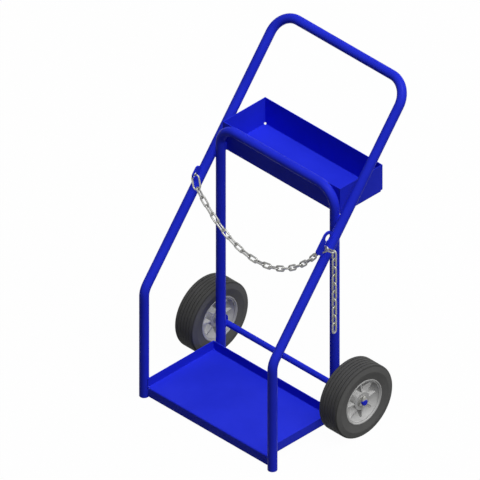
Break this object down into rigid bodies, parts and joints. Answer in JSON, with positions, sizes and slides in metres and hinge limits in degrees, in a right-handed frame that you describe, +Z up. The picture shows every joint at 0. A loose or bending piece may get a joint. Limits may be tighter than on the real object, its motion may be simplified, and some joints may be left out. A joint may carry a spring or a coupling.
{
  "type": "gas cylinder trolley",
  "caption": "Two-wheeled gas cylinder trolley: bent tube frame with leaning handle, folded base tray, open tool tray and a retaining chain hooked in a keyhole plate.",
  "frame": {"origin": "on the ground, at the centre of the bounding box: midway between the wheels, and midway between the front legs and the top of the handle", "axes": "+X across the trolley to the side with the keyhole plate and the loose end of the chain, +Y from the front legs back to the handle, +Z up"},
  "size_m": [0.58, 0.5098, 0.9488],
  "materials": {
    "blue_paint": "gloss paint over welded steel",
    "zinc_steel": "bright zinc plating",
    "rubber": "moulded black rubber",
    "hub_moulding": "pale grey moulded hub",
    "bush_plastic": "dark plastic bush"
  },
  "bodies": {
    "trolley": {"handle_frame": "blue_paint", "rear_frame": "blue_paint", "base_tray": "blue_paint", "tool_tray": "blue_paint", "axle": "blue_paint", "axle_collar_left": "blue_paint", "axle_collar_right": "blue_paint", "axle_washers": "zinc_steel", "split_pin_left": "zinc_steel", "split_pin_right": "zinc_steel", "keyhole_plate": "blue_paint", "anchor_plate": "blue_paint", "anchor_link": "zinc_steel", "lock_link": "zinc_steel", "draped_link": "zinc_steel"},
    "wheel_left": {"tyre_left": "rubber", "wheel_hub_left": "hub_moulding", "wheel_bushes_left": "bush_plastic"},
    "wheel_right": {"tyre_right": "rubber", "wheel_hub_right": "hub_moulding", "wheel_bushes_right": "bush_plastic"},
    "chain": {"chain_links_flat": "zinc_steel", "chain_links_upright": "zinc_steel"},
    "tail": {"tail_links_across": "zinc_steel", "tail_links_along": "zinc_steel"}
  },
  "joints": [
    {"name": "wheel_left_spin", "type": "hinge", "parent": "trolley", "child": "wheel_left", "pos_m": [-0.255, 0.02425, 0.1016], "axis": [1, 0, 0], "continuous": true},
    {"name": "wheel_right_spin", "type": "hinge", "parent": "trolley", "child": "wheel_right", "pos_m": [0.255, 0.02425, 0.1016], "axis": [1, 0, 0], "continuous": true},
    {"name": "chain_swing", "type": "hinge", "parent": "trolley", "child": "chain", "pos_m": [-0.20602, -0.07195, 0.55573], "axis": [0.9992, 0.013, 0.0387], "range_deg": [-10, 10]},
    {"name": "tail_swing", "type": "hinge", "parent": "trolley", "child": "tail", "pos_m": [0.26301, -0.05951, 0.59074], "axis": [0, 1, 0], "range_deg": [-25, 15]}
  ]
}
